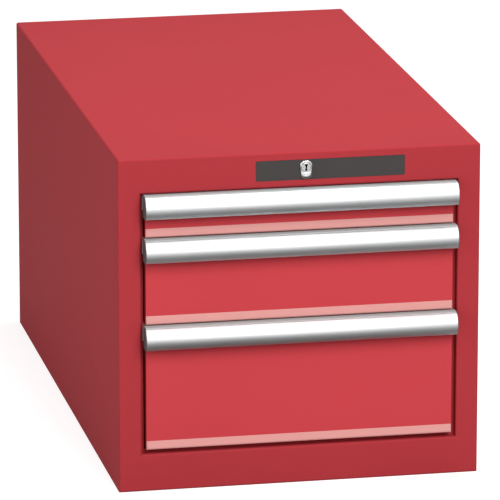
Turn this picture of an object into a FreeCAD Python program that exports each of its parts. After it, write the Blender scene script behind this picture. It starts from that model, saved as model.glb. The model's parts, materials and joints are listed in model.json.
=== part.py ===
import FreeCAD
import Part
import math
import os

# Workshop drawer cabinet in folded sheet steel: a housing, three drawers on telescopic roller
# rails, full-width aluminium handle strips and one lock for all drawers.
# Millimetres. Seen from the drawer side, X points right, Y points back and Z points up.
# The origin is the middle of the underside.

Vector = FreeCAD.Vector
NEAR = 0.001                   # two points closer than this are the same

# Housing
WIDTH = 411.0
DEPTH = 725.0                  # front face to rear face, without handles
HEIGHT = 383.0
SHEET = 1.5                    # housing steel
BEND = 1.0                     # inside radius of every fold
STILE = 25.5                   # front face beside the opening
TOP_BAND = 40.0                # front face above the opening
BOTTOM_BAND = 43.0             # front face below the opening
FRAME_RETURN = 12.0            # front frame folded back along the sides and the underside
REVEAL = 12.0                  # edge of the opening folded inwards
FRAME_LIP = 4.0                # reveal's rear edge folded towards the drawers, beside and below them
COVER_RIM = 6.0                # rim of the top cover
REAR_FLANGE = 20.0             # side panels folded across the rear
BACK_SHEET = 1.5
BASE_SHEET = 2.0
BASE_RIM = 20.0
PANEL_GAP = 0.3                # between a panel's edge and the fold beside it
OVERCUT = 1.0                  # how far a cut runs on beyond the metal
BASE_HOLE = 11.0               # diameter
BASE_HOLE_SIDE = 40.5          # hole's middle to the side of the cabinet
BASE_HOLE_END = 42.5           # hole's middle to the front or the rear of the cabinet

# Screws in the rear
SCREW_SHANK = 3.9              # diameter
SCREW_HOLE = 4.2               # diameter
SCREW_HEAD = 7.0               # diameter
SCREW_HEAD_HEIGHT = 2.2
SCREW_LENGTH = 9.0
SCREW_END = 61.5               # lowest screw above the underside, highest below the top
SCREW_ROWS = 3

# Uprights
UPRIGHT_SHEET = 1.5
UPRIGHT_WIDTH = 40.0
UPRIGHT_LIP = 8.0
FRONT_UPRIGHT_BACK = 38.5      # front face of the cabinet to the front upright
REAR_UPRIGHT_BACK = 22.5       # rear face of the cabinet to the rear upright
UPRIGHT_FOOT = 20.5            # height of its lower end
UPRIGHT_HEAD = 2.0             # its upper end above the opening
COLUMN = 8.0                   # columns of slots either side of the upright's middle
SLOT_PITCH = 25.0
SLOT_WIDTH = 4.0
SLOT_HEIGHT = 14.0
SLOT_MARGIN = 12.0             # least metal above and below the column of slots

# Drawers
TOP_DRAWER = 50.0
MIDDLE_DRAWER = 100.0
TRAVEL = 620.0
TRAY_SHEET = 1.2
TRAY_INSIDE_LENGTH = 612.0
TRAY_FLOOR = 5.0               # tray's underside above the drawer's lower limit
TRAY_TOP = 7.0                 # tray's rim below the drawer's upper limit
TRAY_RIM = 6.0
DIVIDER_PITCH = 17.0
DIVIDER_SLOT_WIDTH = 3.0
DIVIDER_SLOT_HEIGHT = 10.0
DIVIDER_SLOT_DROP = 8.0        # first row of slots below the rim
DIVIDER_ROW_PITCH = 34.0

# Drawer fronts
FRONT_SIDE_GAP = 5.5
FRONT_JOINT = 0.3              # lower edge of a front above the drawer below
SILL_GAP = 5.6                 # lower edge of the bottom front above the sill
FRONT_DEPTH = 18.0
FRONT_LIP = 10.0
FLARE_HEIGHT = 10.0            # strip along the lower edge that leans out
FLARE_REACH = 2.0
FLARE_INSET = 0.9
FRONT_HEADROOM = 3.2           # top edge of a front below the drawer's upper limit
POCKET_DEPTH = 10.0            # finger pocket behind the handle
POCKET_BOTTOM = 25.0           # below the drawer's upper limit
POCKET_SLOPE = 4.0

# Handle strips
HANDLE_SHEET = 2.0
HANDLE_REACH = 19.8            # in front of the drawer front
HANDLE_TOP_GAP = 1.2           # below the drawer's upper limit
HANDLE_BROW = 1.0              # inside radius at the upper front edge
HANDLE_FLAT = 1.4              # from the brow's corner to the round face
HANDLE_ROUND = 14.4            # inside radius of the round face
HANDLE_RISE = 50.0             # degrees the face leans back at its upper end
HANDLE_FALL = 40.0             # degrees the face leans back at its foot
HANDLE_TIP = 0.95              # radius of the strip's rounded edge
HANDLE_OVERHANG = 1.0          # beyond the drawer front at each end
HANDLE_LEG = 16.8              # leg that stands against the back of the pocket
HANDLE_LEG_INSET = 1.7
CAP_THICKNESS = 2.0
CAP_CORNER = 0.8
LABEL_STRIP = 0.8              # thickness of the strip that lies on the handle's web
LABEL_STRIP_GAP = 0.4          # from the label strip to the brow and to the drawer front

# Rails, from the edge of the opening inwards
RAIL_SHEET = 2.0
RAIL_HEIGHT = 30.0
RAIL_DEPTH = 10.0              # inside depth of the channel
RAIL_LEVEL = 23.0              # middle of a rail above the drawer's lower limit
CABINET_RAIL_BACK = 40.5       # front face of the cabinet to the cabinet rails
DRAWER_RAIL_BACK = 43.5        # front face of the cabinet to the drawer rails
CARRIAGE_GAP = 0.6             # between a rail's edge and the carriage plate
CARRIAGE_PLATE = 2.6
CARRIAGE_HEIGHT = 22.0
HOOK_THICKNESS = 3.0
HOOK_HEIGHT = 12.0
HOOK_NOSE = 4.0
HOOK_NOSE_THICKNESS = 2.0
HOOK_PLAY = 0.2
HOOK_LIFT = 4.4                # free height of a slot above its hook

# Rollers
ROLLER_RADIUS = 12.7
ROLLER_WIDTH = 6.5
ROLLER_EDGE = 0.8              # rounding of the tread's edges
STUD_RADIUS = 4.0
STUD_PLAY = 0.05               # radial running clearance on the stud
COLLAR_RADIUS = 6.0
COLLAR = 1.0
SIDE_PLAY = 0.2                # roller to collar and to stud head
STUD_HEAD_RADIUS = 6.5
STUD_HEAD = 1.4
STOP_GAP = 0.3                 # roller to buffer or closed rail end, drawer shut
END_GAP = 0.5                  # roller to stop, drawer fully open
OUTER_ROLLER_SPACING = 150.0
BUFFER_LENGTH = 12.0
BUFFER_WIDTH = 8.0

# Lock
LOCK_PANEL_WIDTH = 168.8
LOCK_PANEL_HEIGHT = 22.7
LOCK_PANEL_OFFSET = 34.3       # its middle right of the cabinet's middle
LOCK_PANEL_TOP = 9.0           # its upper edge below the top of the cabinet
LOCK_PANEL_CORNER = 1.5
LOCK_PANEL_PROUD = 0.2
LOCK_PANEL_BACKING = 2.0
LOCK_PANEL_MARGIN = 2.5
LOCK_WINDOW_PLAY = 0.2
LOCK_X = 6.1
LOCK_DROP = 17.5               # lock's axis below the top of the cabinet
ESCUTCHEON = 3.0
ESCUTCHEON_HIGH = 7.5          # above the lock's axis
ESCUTCHEON_LOW = 12.6          # below the lock's axis
ESCUTCHEON_SHOULDER = 7.3      # half its width along its upper edge
ESCUTCHEON_FOOT = 5.5          # half its width along its lower edge
ESCUTCHEON_SHOULDER_ROUND = 5.3
ESCUTCHEON_FOOT_ROUND = 5.1
ESCUTCHEON_EDGE = 0.6
ESCUTCHEON_DISH = 0.8          # width and depth of the bevel round the plug
BARREL_NECK = 6.2              # radius
BARREL_HOLE_PLAY = 0.2
BARREL_RADIUS = 8.5
BARREL_LENGTH = 15.5
PLUG_RADIUS = 5.0
PLUG_PLAY = 0.05
PLUG_PROUD = 0.3
KEYWAY_HIGH = 3.9              # above the lock's axis
KEYWAY_TOP = 1.9               # half its width at the top
KEYWAY_WAIST = 0.7             # half its width from the axis down
KEYWAY_EYE = 1.3               # radius of its round foot
KEYWAY_LOW = 3.8               # below the lock's axis
KEYWAY_DEPTH = 8.0
TAIL_WIDTH = 5.0
TAIL_PLAY = 0.1
CAM_GAP = 0.3
CAM_THICKNESS = 2.5
CAM_HUB = 5.6                  # radius
CAM_TOE = 3.2                  # radius
CAM_THROW = 7.0                # lock's axis to the pin
CAM_PIN_RADIUS = 2.0
CAM_PIN_PASS = 0.5             # pin beyond the bar
CAM_SCREW_SHANK = 1.5          # radius
CAM_SCREW_HEAD = 4.0           # radius
CAM_SCREW_HEAD_HEIGHT = 1.3
CAM_SCREW_DEPTH = 3.0

# Lock bar, its guide pins and the catches on the drawers
BAR_SHEET = 3.0
BAR_GAP = 1.7                  # between the cam and the bar
BAR_ARM_TOP = 4.2              # arm's upper edge below the lock's axis
BAR_ARM_HEIGHT = 10.3
BAR_ARM_OVERRUN = 8.0          # arm beyond the notch
BAR_NOTCH_PLAY = 0.5
BAR_LEG_GAP = 1.0              # leg outside the opening when unlocked
BAR_LEG_WALL_GAP = 1.0
BAR_FOOT = 50.0                # height of the leg's lower end
BAR_CORNER = 2.0
GUIDE_RADIUS = 2.0
GUIDE_PLAY = 0.3
GUIDE_EDGE = 6.0               # from the leg's inner edge to the guide pin
GUIDE_END = 50.0               # lower pin above the leg's end, upper pin below the opening's top
GUIDE_HEAD_RADIUS = 4.0
GUIDE_HEAD = 1.6
GUIDE_HEAD_GAP = 0.4
CATCH_SHEET = 2.0
CATCH_HOOK = 3.0
CATCH_HEIGHT = 20.0
CATCH_LENGTH = 16.0
CATCH_BACK_GAP = 0.5           # between the bar and the hook
CATCH_TIP_GAP = 5.0            # hook's tip inside the opening's edge

# Places that follow from the sizes above
SIDE = WIDTH / 2
INSIDE = SIDE - SHEET
FRONT = -DEPTH / 2
REAR = DEPTH / 2
COVER_FOOT = HEIGHT - COVER_RIM
OPENING_SIDE = SIDE - STILE
OPENING_TOP = HEIGHT - TOP_BAND
OPENING_BOTTOM = BOTTOM_BAND
OUTER_BEND = BEND + SHEET
FRAME_BACK = FRONT + FRAME_RETURN
BACK_FACE = REAR - SHEET - BACK_SHEET
SCREW_X = SIDE - REAR_FLANGE / 2
SCREW_PITCH = (HEIGHT - 2 * SCREW_END) / (SCREW_ROWS - 1)
SCREW_LEVELS = [SCREW_END + row * SCREW_PITCH for row in range(SCREW_ROWS)]
BASE_HOLES_ACROSS = WIDTH - 2 * BASE_HOLE_SIDE
BASE_HOLES_DEEP = DEPTH - 2 * BASE_HOLE_END

LIMITS = (OPENING_TOP, OPENING_TOP - TOP_DRAWER, OPENING_TOP - TOP_DRAWER - MIDDLE_DRAWER, OPENING_BOTTOM)
DRAWERS = range(1, len(LIMITS))

CABINET_RAIL_WEB = OPENING_SIDE + RAIL_SHEET
CARRIAGE_OUTER = OPENING_SIDE - RAIL_DEPTH - CARRIAGE_GAP
CARRIAGE_INNER = CARRIAGE_OUTER - CARRIAGE_PLATE
DRAWER_RAIL_EDGE = CARRIAGE_INNER - CARRIAGE_GAP
TRAY_SIDE = DRAWER_RAIL_EDGE - RAIL_DEPTH - RAIL_SHEET
TRAY_FRONT = FRONT + FRONT_DEPTH
TRAY_REAR = TRAY_FRONT + TRAY_INSIDE_LENGTH + 2 * TRAY_SHEET
FRONT_SIDE = OPENING_SIDE - FRONT_SIDE_GAP

CABINET_RAIL_FRONT = FRONT + CABINET_RAIL_BACK
DRAWER_RAIL_FRONT = FRONT + DRAWER_RAIL_BACK
FRONT_UPRIGHT = FRONT + FRONT_UPRIGHT_BACK
REAR_UPRIGHT = REAR - REAR_UPRIGHT_BACK - UPRIGHT_WIDTH
CABINET_RAIL_REAR = REAR_UPRIGHT + UPRIGHT_WIDTH

INNER_FRONT_ROLLER = DRAWER_RAIL_FRONT + RAIL_SHEET + STOP_GAP + ROLLER_RADIUS
INNER_REAR_ROLLER = TRAY_REAR - RAIL_SHEET - END_GAP - ROLLER_RADIUS - TRAVEL / 2
OUTER_FRONT_ROLLER = CABINET_RAIL_FRONT + RAIL_SHEET + END_GAP + ROLLER_RADIUS + TRAVEL / 2
OUTER_REAR_ROLLER = OUTER_FRONT_ROLLER + OUTER_ROLLER_SPACING
BUFFER_FRONT = OUTER_REAR_ROLLER + ROLLER_RADIUS + STOP_GAP

LOCK_PANEL_FACE = FRONT - LOCK_PANEL_PROUD
LOCK_Z = HEIGHT - LOCK_DROP
ESCUTCHEON_FACE = LOCK_PANEL_FACE - ESCUTCHEON
BARREL_START = FRONT + SHEET + LOCK_PANEL_BACKING
BARREL_END = BARREL_START + BARREL_LENGTH
CAM_START = BARREL_END + CAM_GAP
CAM_END = CAM_START + CAM_THICKNESS
BAR_START = CAM_END + BAR_GAP
BAR_END = BAR_START + BAR_SHEET
BAR_LEG_INNER = OPENING_SIDE + BAR_LEG_GAP
BAR_LEG_OUTER = INSIDE - BAR_LEG_WALL_GAP
CAM_PIN_SIDE = CAM_THROW * math.sin(math.radians(45))
BAR_TRAVEL = 2 * CAM_PIN_SIDE
GUIDE_X = BAR_LEG_INNER + GUIDE_EDGE
GUIDE_LEVELS = (BAR_FOOT + GUIDE_END, OPENING_TOP - GUIDE_END)


# Shapes

def span_box(x, y, z):
    """A block between three pairs of limits."""
    return Part.makeBox(x[1] - x[0], y[1] - y[0], z[1] - z[0], Vector(x[0], y[0], z[0]))


def rod(axis, start, end, radius):
    """A round bar along "x" or "y" from start to end, each a point."""
    along = Vector(1, 0, 0) if axis == "x" else Vector(0, 1, 0)
    return Part.makeCylinder(radius, (end - start).dot(along), start, along)


def mirrored(shape):
    """The same piece on the other side of the cabinet's middle plane."""
    return shape.mirror(Vector(0, 0, 0), Vector(1, 0, 0))


def pair(shape):
    """A piece together with its opposite number."""
    return Part.makeCompound([shape, mirrored(shape)])


def joined(shapes):
    """One solid from touching or overlapping shapes, without the seams between them."""
    return shapes[0].fuse(shapes[1:]).removeSplitter()


def placer(axis, level):
    """Puts an outline's two coordinates on the plane square to the axis at the level."""
    if axis == "x":
        return lambda u, v: Vector(level, u, v)
    if axis == "y":
        return lambda u, v: Vector(u, level, v)
    return lambda u, v: Vector(u, v, level)


def rounded_wire(corners, place):
    """A closed wire through corners (u, v, radius), each turned with a tangent arc."""
    points = [Vector(u, v, 0) for u, v, radius in corners]
    edges = []
    ends = []
    for i, (u, v, radius) in enumerate(corners):
        corner = points[i]
        if radius == 0:
            ends.append((corner, corner))
            continue
        back = (points[i - 1] - corner).normalize()
        ahead = (points[(i + 1) % len(points)] - corner).normalize()
        half = back.getAngle(ahead) / 2
        middle = (back + ahead).normalize()
        first = corner + back * (radius / math.tan(half))
        last = corner + ahead * (radius / math.tan(half))
        top = corner + middle * (radius / math.sin(half) - radius)
        edges.append(Part.Arc(*(place(p.x, p.y) for p in (first, top, last))).toShape())
        ends.append((first, last))
    for i, (first, last) in enumerate(ends):
        following = ends[(i + 1) % len(ends)][0]
        if last.distanceToPoint(following) > NEAR:
            edges.append(Part.LineSegment(place(last.x, last.y), place(following.x, following.y)).toShape())
    return Part.Wire(Part.__sortEdges__(edges))


def prism(corners, axis, start, end):
    """A solid with one rounded outline, drawn square to the axis, from start to end along it."""
    place = placer(axis, start)
    along = placer(axis, end)(0, 0) - place(0, 0)
    return Part.Face(rounded_wire(corners, place)).extrude(along)


def fold(points, thickness, bend=BEND, tip=0.0):
    """Outline of a bent sheet whose outer face follows the points and whose body lies on their left.

    A point is (u, v), or (u, v, inside radius) where the bend isn't the usual one. The tip
    is the radius on both corners of the last edge.
    """
    outer = []
    inner = []
    last = len(points) - 1
    for i, point in enumerate(points):
        here = Vector(point[0], point[1], 0)
        before = Vector(*points[max(i - 1, 0)][:2], 0)
        after = Vector(*points[min(i + 1, last)][:2], 0)
        ahead = (after - here) if i < last else (here - before)
        behind = (here - before) if i > 0 else ahead
        ahead = Vector(ahead).normalize()
        behind = Vector(behind).normalize()
        left = Vector(-behind.y - ahead.y, behind.x + ahead.x, 0)
        inside = here + left * (thickness / (1 + behind.dot(ahead)))
        turn = behind.x * ahead.y - behind.y * ahead.x
        radius = point[2] if len(point) > 2 else bend
        if i in (0, last):
            radii = (0.0, 0.0) if i == 0 else (tip, tip)
        elif turn > 0:
            radii = (radius + thickness, radius)
        else:
            radii = (radius, radius + thickness)
        outer.append((here.x, here.y, radii[0]))
        inner.append((inside.x, inside.y, radii[1]))
    return outer + inner[::-1]


def egg(axis, level, wide, wide_radius, narrow, narrow_radius, thickness):
    """A plate round two circles and the straight edges that touch both."""
    place = placer(axis, level)
    first = Vector(*wide, 0)
    second = Vector(*narrow, 0)
    along = (second - first).normalize()
    across = Vector(-along.y, along.x, 0)
    lean = (wide_radius - narrow_radius) / first.distanceToPoint(second)
    rise = math.sqrt(1 - lean * lean)

    def on(centre, radius, side):
        point = centre + (along * lean + across * (rise * side)) * radius
        return place(point.x, point.y)

    def pole(centre, distance):
        point = centre + along * distance
        return place(point.x, point.y)

    wide_left, wide_right = on(first, wide_radius, 1), on(first, wide_radius, -1)
    narrow_left, narrow_right = on(second, narrow_radius, 1), on(second, narrow_radius, -1)
    edges = [
        Part.Arc(wide_left, pole(first, -wide_radius), wide_right).toShape(),
        Part.LineSegment(wide_right, narrow_right).toShape(),
        Part.Arc(narrow_right, pole(second, narrow_radius), narrow_left).toShape(),
        Part.LineSegment(narrow_left, wide_left).toShape(),
    ]
    along_axis = placer(axis, level + thickness)(0, 0) - place(0, 0)
    return Part.Face(Part.Wire(edges)).extrude(along_axis)


def softened(shape, radius, middles):
    """A shape with the edges rounded whose middles are the given points."""
    chosen = []
    for edge in shape.Edges:
        if any(edge.CenterOfMass.distanceToPoint(middle) < NEAR for middle in middles):
            chosen.append(edge)
    return shape.makeFillet(radius, chosen)


def flared_plug(front, back, grow, radius):
    """A block as large as the opening and a margin, spreading at its front end in a quarter round."""
    side = OPENING_SIDE + grow
    low = OPENING_BOTTOM - grow
    high = OPENING_TOP + grow
    lead = front - SHEET / 2

    def outline(first, last, ends):
        return ends([(first - radius, lead, 0), (first - radius, front, 0), (first, front, radius),
                     (first, back, 0), (last, back, 0), (last, front, radius),
                     (last + radius, front, 0), (last + radius, lead, 0)])

    plan = prism(outline(-side, side, list), "z", low - 2 * radius, high + 2 * radius)
    section = prism(outline(low, high, lambda corners: [(v, u, r) for u, v, r in corners]), "x",
                    -side - 2 * radius, side + 2 * radius)
    return plan.common(section)


def lock_disc(start, end, radius):
    """A round bar along the lock's axis."""
    return rod("y", Vector(LOCK_X, start, LOCK_Z), Vector(LOCK_X, end, LOCK_Z), radius)


# Housing

def frame_lip():
    """Flat strip that closes the gap round the drawer fronts, open along the top."""
    across = (FRONT + REVEAL - SHEET, FRONT + REVEAL)
    plate = span_box((-OPENING_SIDE - SHEET / 2, OPENING_SIDE + SHEET / 2), across,
                     (OPENING_BOTTOM - SHEET / 2, OPENING_TOP))
    side = OPENING_SIDE - FRAME_LIP
    return plate.cut(span_box((-side, side), across, (OPENING_BOTTOM + FRAME_LIP, OPENING_TOP)))


def folded_lip(frame):
    """The frame with round folds between its reveal and its lip."""
    middle = (OPENING_BOTTOM + OPENING_TOP) / 2
    for radius, y, grow in ((OUTER_BEND, FRONT + REVEAL, SHEET), (BEND, FRONT + REVEAL - SHEET, 0.0)):
        side = OPENING_SIDE + grow
        frame = softened(frame, radius, [Vector(-side, y, middle), Vector(side, y, middle),
                                         Vector(0, y, OPENING_BOTTOM - grow)])
    return frame


def front_frame():
    middle = (FRONT + FRAME_BACK) / 2
    shell = span_box((-SIDE, SIDE), (FRONT, FRAME_BACK), (0, COVER_FOOT))
    shell = softened(shell, OUTER_BEND, [Vector(-SIDE, FRONT, COVER_FOOT / 2),
                                         Vector(SIDE, FRONT, COVER_FOOT / 2), Vector(0, FRONT, 0)])
    hollow = span_box((-INSIDE, INSIDE), (FRONT + SHEET, REAR), (SHEET, HEIGHT))
    face = shell.cut(hollow)
    reveal = flared_plug(FRONT + SHEET, FRONT + REVEAL, SHEET, BEND)
    opening = flared_plug(FRONT, REAR, 0.0, OUTER_BEND)
    window = prism(panel_outline(LOCK_WINDOW_PLAY), "y", FRONT - SHEET, middle)
    frame = joined([face, reveal]).cut([opening, window])
    return folded_lip(joined([frame, frame_lip()]))


def side_panel():
    outline = fold([(SIDE, FRAME_BACK), (SIDE, REAR), (SIDE - REAR_FLANGE, REAR)], SHEET)
    return prism(outline, "z", 0, COVER_FOOT).cut(screw_holes())


def top_cover():
    outer = span_box((-SIDE, SIDE), (FRONT, REAR), (COVER_FOOT, HEIGHT))
    middle = (COVER_FOOT + HEIGHT) / 2
    corners = [Vector(x, y, middle) for x in (-SIDE, SIDE) for y in (FRONT, REAR)]
    rims = [Vector(x, 0, HEIGHT) for x in (-SIDE, SIDE)] + [Vector(0, y, HEIGHT) for y in (FRONT, REAR)]
    hollow = span_box((-INSIDE, INSIDE), (FRONT + SHEET, REAR - SHEET), (COVER_FOOT - SHEET, HEIGHT - SHEET))
    return softened(outer, OUTER_BEND, corners + rims).cut(hollow)


def back_panel():
    side = INSIDE - BEND - PANEL_GAP
    panel = span_box((-side, side), (BACK_FACE, REAR - SHEET), (0, HEIGHT - SHEET - PANEL_GAP))
    return panel.cut(screw_holes())


def base_panel():
    outline = fold([(-INSIDE, BASE_RIM), (-INSIDE, 0), (INSIDE, 0), (INSIDE, BASE_RIM)], BASE_SHEET)
    floor = prism(outline, "y", FRAME_BACK, BACK_FACE)
    rear_rim = span_box((-INSIDE + BASE_SHEET, INSIDE - BASE_SHEET), (BACK_FACE - BASE_SHEET, BACK_FACE),
                        (BASE_SHEET, BASE_RIM))
    holes = [Part.makeCylinder(BASE_HOLE / 2, BASE_SHEET + 2 * OVERCUT, Vector(x, y, -OVERCUT))
             for x in (-BASE_HOLES_ACROSS / 2, BASE_HOLES_ACROSS / 2)
             for y in (-BASE_HOLES_DEEP / 2, BASE_HOLES_DEEP / 2)]
    return joined([floor, rear_rim]).cut(holes)


def screw_rods(start, end, diameter):
    return [rod("y", Vector(x, start, z), Vector(x, end, z), diameter / 2)
            for x in (-SCREW_X, SCREW_X) for z in SCREW_LEVELS]


def screw_holes():
    return screw_rods(BACK_FACE - OVERCUT, REAR + OVERCUT, SCREW_HOLE)


def back_screws():
    shanks = screw_rods(REAR - SCREW_LENGTH, REAR, SCREW_SHANK)
    heads = screw_rods(REAR, REAR + SCREW_HEAD_HEIGHT, SCREW_HEAD)
    screws = []
    for shank, head in zip(shanks, heads):
        crown = [edge for edge in head.Edges if edge.CenterOfMass.y > REAR + SCREW_HEAD_HEIGHT / 2
                 and edge.Length > SCREW_HEAD]
        screws.append(joined([shank, head.makeFillet(SCREW_HEAD_HEIGHT / 2, crown)]))
    return Part.makeCompound(screws)


# Uprights and rails

def rail_middle(number):
    """Height of a drawer's rails."""
    return LIMITS[number] + RAIL_LEVEL


def hook_column(upright):
    return upright + UPRIGHT_WIDTH / 2 - COLUMN


def upright(start):
    """A hat section on the right-hand wall, slotted for the rails' hooks."""
    end = start + UPRIGHT_WIDTH
    top = OPENING_TOP + UPRIGHT_HEAD
    inner = CABINET_RAIL_WEB
    wall = INSIDE - UPRIGHT_SHEET
    outline = fold([(wall, end + UPRIGHT_LIP), (wall, end), (inner, end), (inner, start), (wall, start),
                    (wall, start - UPRIGHT_LIP)], UPRIGHT_SHEET)
    body = prism(outline, "z", UPRIGHT_FOOT, top)
    across = (inner - OVERCUT, inner + UPRIGHT_SHEET + OVERCUT)
    slots = []
    hooks = hook_column(start)
    half = HOOK_THICKNESS / 2 + HOOK_PLAY
    for number in DRAWERS:
        foot = rail_middle(number) - HOOK_HEIGHT / 2
        slots.append(span_box(across, (hooks - half, hooks + half), (foot, foot + HOOK_HEIGHT + HOOK_LIFT)))
    column = start + UPRIGHT_WIDTH / 2 + COLUMN
    count = int((top - UPRIGHT_FOOT - 2 * SLOT_MARGIN - SLOT_HEIGHT) // SLOT_PITCH) + 1
    for step in range(count):
        foot = UPRIGHT_FOOT + SLOT_MARGIN + step * SLOT_PITCH
        wide = (column - SLOT_WIDTH / 2, column + SLOT_WIDTH / 2)
        slots.append(span_box(across, wide, (foot, foot + SLOT_HEIGHT)))
    return body.cut(slots)


def cabinet_rail(number):
    """The right-hand channel on the uprights, open towards the drawer."""
    middle = rail_middle(number)
    low = middle - RAIL_HEIGHT / 2
    high = middle + RAIL_HEIGHT / 2
    web = CABINET_RAIL_WEB
    edge = OPENING_SIDE - RAIL_DEPTH
    channel = prism(fold([(edge, low), (web, low), (web, high), (edge, high)], RAIL_SHEET), "y",
                    CABINET_RAIL_FRONT, CABINET_RAIL_REAR)
    stop = span_box((edge, web - RAIL_SHEET / 2), (CABINET_RAIL_FRONT, CABINET_RAIL_FRONT + RAIL_SHEET),
                    (low + RAIL_SHEET / 2, high - RAIL_SHEET / 2))
    pieces = [channel, stop]
    foot = middle - HOOK_HEIGHT / 2
    behind = web + UPRIGHT_SHEET
    for start in (FRONT_UPRIGHT, REAR_UPRIGHT):
        thick = (hook_column(start) - HOOK_THICKNESS / 2, hook_column(start) + HOOK_THICKNESS / 2)
        pieces.append(span_box((web - RAIL_SHEET / 2, behind + HOOK_NOSE_THICKNESS), thick,
                               (foot, foot + HOOK_HEIGHT)))
        pieces.append(span_box((behind, behind + HOOK_NOSE_THICKNESS), thick, (foot - HOOK_NOSE, foot)))
    return joined(pieces)


def rail_buffers():
    blocks = []
    half = RAIL_HEIGHT / 2 - RAIL_SHEET
    buffer_rear = BUFFER_FRONT + BUFFER_LENGTH
    for number in DRAWERS:
        middle = rail_middle(number)
        block = span_box((OPENING_SIDE - BUFFER_WIDTH, OPENING_SIDE), (BUFFER_FRONT, buffer_rear),
                         (middle - half, middle + half))
        corners = [Vector(OPENING_SIDE, (BUFFER_FRONT + buffer_rear) / 2, z)
                   for z in (middle - half, middle + half)]
        block = softened(block, BEND + PANEL_GAP, corners)
        blocks += [block, mirrored(block)]
    return Part.makeCompound(blocks)


def stud(y, z, outward):
    """Collar, shaft and riveted head that carry one roller, on the right-hand carriage."""
    face = CARRIAGE_OUTER if outward > 0 else CARRIAGE_INNER
    steps = ((COLLAR, COLLAR_RADIUS), (COLLAR + ROLLER_WIDTH + 2 * SIDE_PLAY, STUD_RADIUS),
             (COLLAR + ROLLER_WIDTH + 2 * SIDE_PLAY + STUD_HEAD, STUD_HEAD_RADIUS))
    pieces = []
    start = 0.0
    for reach, radius in steps:
        ends = sorted((face + outward * start, face + outward * reach))
        pieces.append(rod("x", Vector(ends[0], y, z), Vector(ends[1], y, z), radius))
        start = reach
    return pieces


def roller_places():
    """Name, side of the carriage plate and place along Y of a drawer's four roller axes."""
    return (("inner_front", -1, INNER_FRONT_ROLLER), ("inner_rear", -1, INNER_REAR_ROLLER),
            ("outer_front", 1, OUTER_FRONT_ROLLER), ("outer_rear", 1, OUTER_REAR_ROLLER))


def carriage(number):
    """The right-hand plate between the two rails, with its four studs."""
    middle = rail_middle(number)
    end = CARRIAGE_HEIGHT / 2
    plate = egg("x", CARRIAGE_INNER, (INNER_FRONT_ROLLER, middle), end, (OUTER_REAR_ROLLER, middle), end,
                CARRIAGE_PLATE)
    pieces = [plate]
    for name, outward, y in roller_places():
        pieces += stud(y, middle, outward)
    return joined(pieces)


def roller(number, outward, y):
    """The right-hand roller on one of the carriage's studs."""
    face = CARRIAGE_OUTER if outward > 0 else CARRIAGE_INNER
    near = COLLAR + SIDE_PLAY
    ends = sorted((face + outward * near, face + outward * (near + ROLLER_WIDTH)))
    middle = rail_middle(number)
    wheel = rod("x", Vector(ends[0], y, middle), Vector(ends[1], y, middle), ROLLER_RADIUS)
    rims = [edge for edge in wheel.Edges if edge.isClosed()]
    bore = rod("x", Vector(ends[0] - OVERCUT, y, middle), Vector(ends[1] + OVERCUT, y, middle),
               STUD_RADIUS + STUD_PLAY)
    return wheel.makeFillet(ROLLER_EDGE, rims).cut(bore)


# Drawers

def front_foot(number):
    """Lower edge of a drawer front."""
    gap = SILL_GAP if number == DRAWERS[-1] else FRONT_JOINT
    return LIMITS[number] + gap


def tray(number):
    """A folded trough with slotted walls, and the two end walls welded into it."""
    floor = LIMITS[number] + TRAY_FLOOR
    top = LIMITS[number - 1] - TRAY_TOP
    rim = top - TRAY_SHEET
    wide = TRAY_SIDE + TRAY_RIM
    trough = prism(fold([(-wide, rim), (-TRAY_SIDE, rim), (-TRAY_SIDE, floor), (TRAY_SIDE, floor),
                         (TRAY_SIDE, rim), (wide, rim)], TRAY_SHEET), "y", TRAY_FRONT, TRAY_REAR)
    side = TRAY_SIDE - TRAY_SHEET
    end_outline = [(-side, top, 0), (-side, floor + TRAY_SHEET, BEND), (side, floor + TRAY_SHEET, BEND),
                   (side, top, 0)]
    ends = [prism(end_outline, "y", y, y + TRAY_SHEET) for y in (TRAY_FRONT, TRAY_REAR - TRAY_SHEET)]
    slots = []
    count = int(TRAY_INSIDE_LENGTH // DIVIDER_PITCH) - 1
    first = TRAY_FRONT + TRAY_SHEET + (TRAY_INSIDE_LENGTH - (count - 1) * DIVIDER_PITCH) / 2
    rows = max(1, int((top - floor - DIVIDER_SLOT_DROP) // DIVIDER_ROW_PITCH))
    for row in range(rows):
        high = top - DIVIDER_SLOT_DROP - row * DIVIDER_ROW_PITCH
        for step in range(count):
            y = first + step * DIVIDER_PITCH
            slots.append(span_box((-wide, wide), (y - DIVIDER_SLOT_WIDTH / 2, y + DIVIDER_SLOT_WIDTH / 2),
                                  (high - DIVIDER_SLOT_HEIGHT, high)))
    return Part.makeCompound([trough.cut(slots)] + ends)


def drawer_rails(number):
    middle = rail_middle(number)
    low = middle - RAIL_HEIGHT / 2
    high = middle + RAIL_HEIGHT / 2
    edge = DRAWER_RAIL_EDGE
    channel = prism(fold([(edge, high), (TRAY_SIDE, high), (TRAY_SIDE, low), (edge, low)], RAIL_SHEET), "y",
                    DRAWER_RAIL_FRONT, TRAY_REAR)
    stops = [span_box((TRAY_SIDE + RAIL_SHEET / 2, edge), (y, y + RAIL_SHEET),
                      (low + RAIL_SHEET / 2, high - RAIL_SHEET / 2))
             for y in (DRAWER_RAIL_FRONT, TRAY_REAR - RAIL_SHEET)]
    return pair(joined([channel] + stops))


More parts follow.
